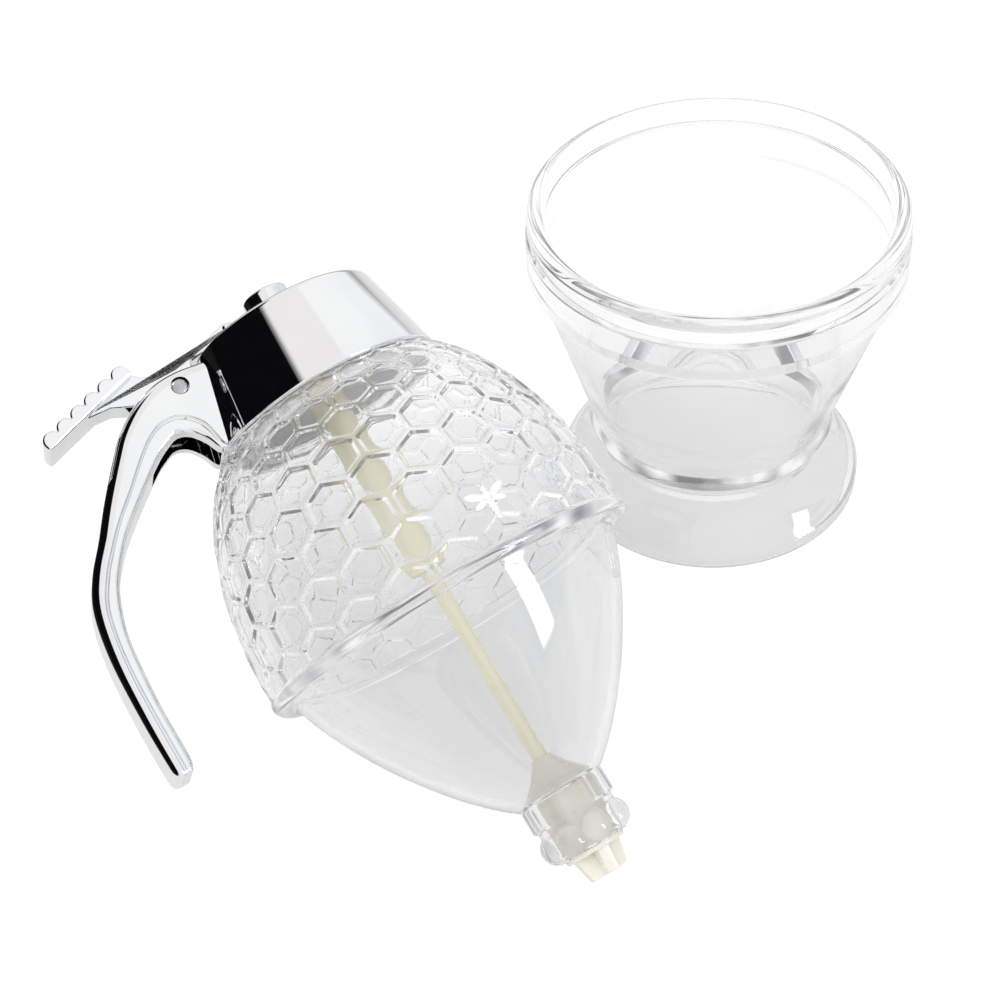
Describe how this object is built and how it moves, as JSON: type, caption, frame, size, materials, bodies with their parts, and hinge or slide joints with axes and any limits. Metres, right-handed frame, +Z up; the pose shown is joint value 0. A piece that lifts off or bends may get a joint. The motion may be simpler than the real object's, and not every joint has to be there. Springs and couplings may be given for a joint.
{
  "type": "honey dispenser",
  "caption": "Clear honeycomb-domed honey dispenser with a chrome screw cap, curved handle and thumb trigger, lying beside its clear footed drip stand.",
  "frame": {"origin": "centre of the stand's foot, on the plane that the stand and the lying dispenser rest on", "axes": "+Z up along the stand's axis; +X to the right seen from the dispenser's outlet side, with the dispenser lying towards -X and -Y; +Y towards the back"},
  "size_m": [0.1928, 0.1704, 0.0925],
  "materials": {
    "clear_acrylic": "clear, polished",
    "chrome_plate": "bright chrome plate",
    "steel": "plain ground steel",
    "ivory_plastic": "smooth, slightly translucent",
    "white_plastic": "moulded, satin",
    "silicone": "milky, soft gloss"
  },
  "bodies": {
    "stand": {"stand_bowl": "clear_acrylic", "stand_foot": "clear_acrylic"},
    "jar": {"jar_dome": "clear_acrylic", "jar_funnel": "clear_acrylic", "outlet_crown": "clear_acrylic"},
    "seal": {"neck_gasket": "silicone"},
    "cap": {"cap_shell": "chrome_plate", "cap_liner": "white_plastic", "handle": "chrome_plate", "handle_screws": "steel", "pivot_pin": "steel", "guide_tube": "ivory_plastic", "stem_seal": "silicone", "spring_washer": "steel", "return_spring": "steel", "rod_bush": "white_plastic"},
    "trigger": {"thumb_lever": "chrome_plate"},
    "plunger": {"knob": "chrome_plate", "plunger_rod": "ivory_plastic", "rod_clip": "steel", "valve_plug": "silicone"}
  },
  "joints": [
    {"name": "dispenser_lift", "type": "slide", "parent": "stand", "child": "jar", "axis": [0, 0, 1], "range_m": [0, 0.15]},
    {"name": "cap_climb", "type": "slide", "parent": "jar", "child": "seal", "axis": [-0.4527, 0.7329, 0.5079], "range_m": [0, 0.0013]},
    {"name": "cap_turn", "type": "hinge", "parent": "seal", "child": "cap", "pos_m": [-0.06598, -0.07656, 0.03764], "axis": [-0.4527, 0.7329, 0.5079], "range_deg": [0, 110]},
    {"name": "trigger_press", "type": "hinge", "parent": "cap", "child": "trigger", "pos_m": [-0.12045, -0.04139, 0.07046], "axis": [0.222, -0.459, 0.8602], "range_deg": [0, 15]},
    {"name": "plunger_lift", "type": "slide", "parent": "cap", "child": "plunger", "axis": [-0.4527, 0.7329, 0.5079], "range_m": [0, 0.006], "stiffness_N_per_m": 200, "springref_m": -0.005, "deforming": ["return_spring"]}
  ],
  "couplings": [
    {"joint": "cap_climb", "follows": "cap_turn", "m_per_rad": 0.00063662},
    {"joint": "trigger_press", "follows": "plunger_lift", "rad_per_m": 43.478}
  ]
}
